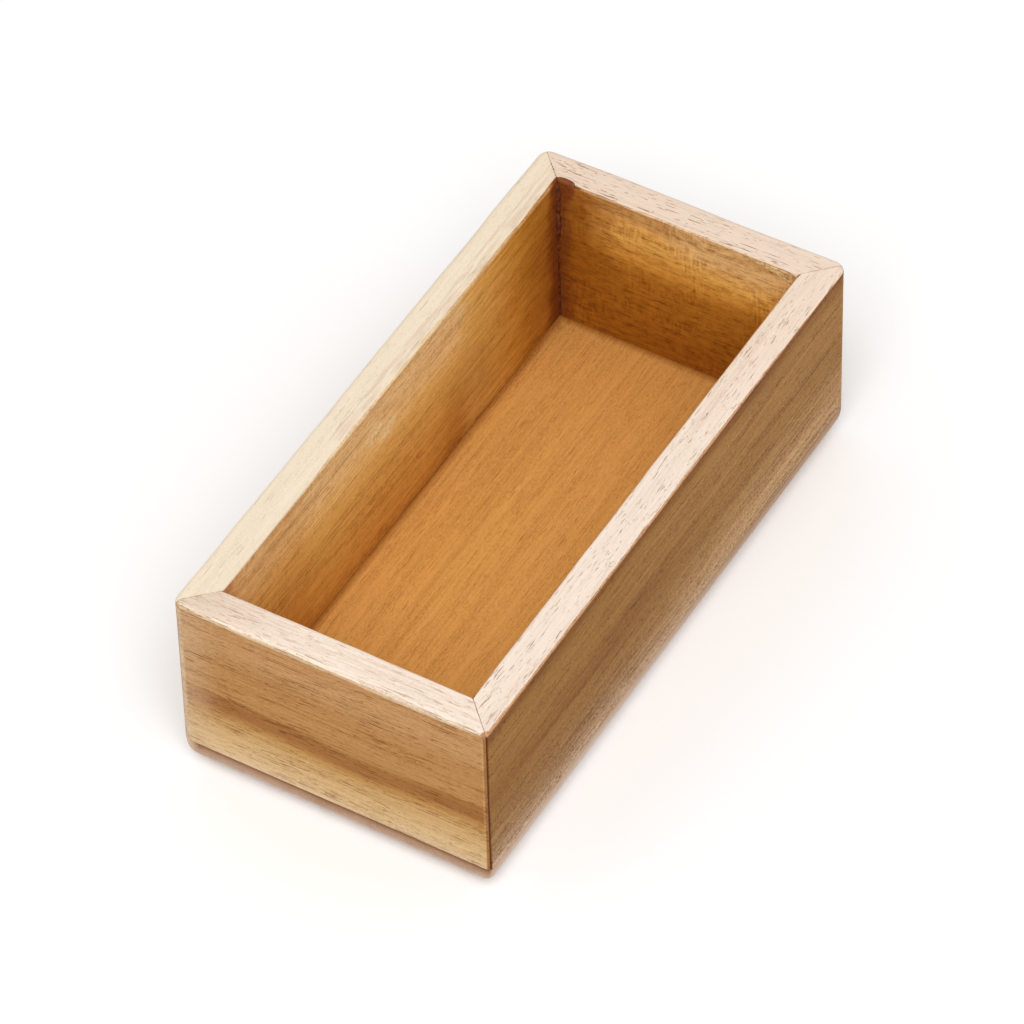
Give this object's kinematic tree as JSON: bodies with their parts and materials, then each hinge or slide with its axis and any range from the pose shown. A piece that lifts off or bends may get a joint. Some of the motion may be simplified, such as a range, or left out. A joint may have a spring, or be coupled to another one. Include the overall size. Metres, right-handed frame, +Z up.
{
  "type": "drawer organizer bin",
  "caption": "Open rectangular wooden bin with mitred corners on a full base board whose lower edge is rounded over.",
  "frame": {"origin": "on the underside, below the middle of the bin", "axes": "+Z up out of the open mouth, +Y along the long boards from the front short board to the back one, +X to the right seen from the front"},
  "size_m": [0.075, 0.1524, 0.05],
  "materials": {
    "front_board": "satin clear finish on tan acacia, brown streak along the middle",
    "back_board": "satin clear finish on amber acacia, pale sapwood along the top",
    "left_board": "satin clear finish on light yellow acacia",
    "right_board": "satin clear finish on mid brown acacia",
    "base_board": "satin clear finish on brown acacia, end grain at front and back"
  },
  "bodies": {
    "root": {"front_wall": "front_board", "back_wall": "back_board", "left_wall": "left_board", "right_wall": "right_board", "base_board": "base_board"}
  },
  "joints": []
}
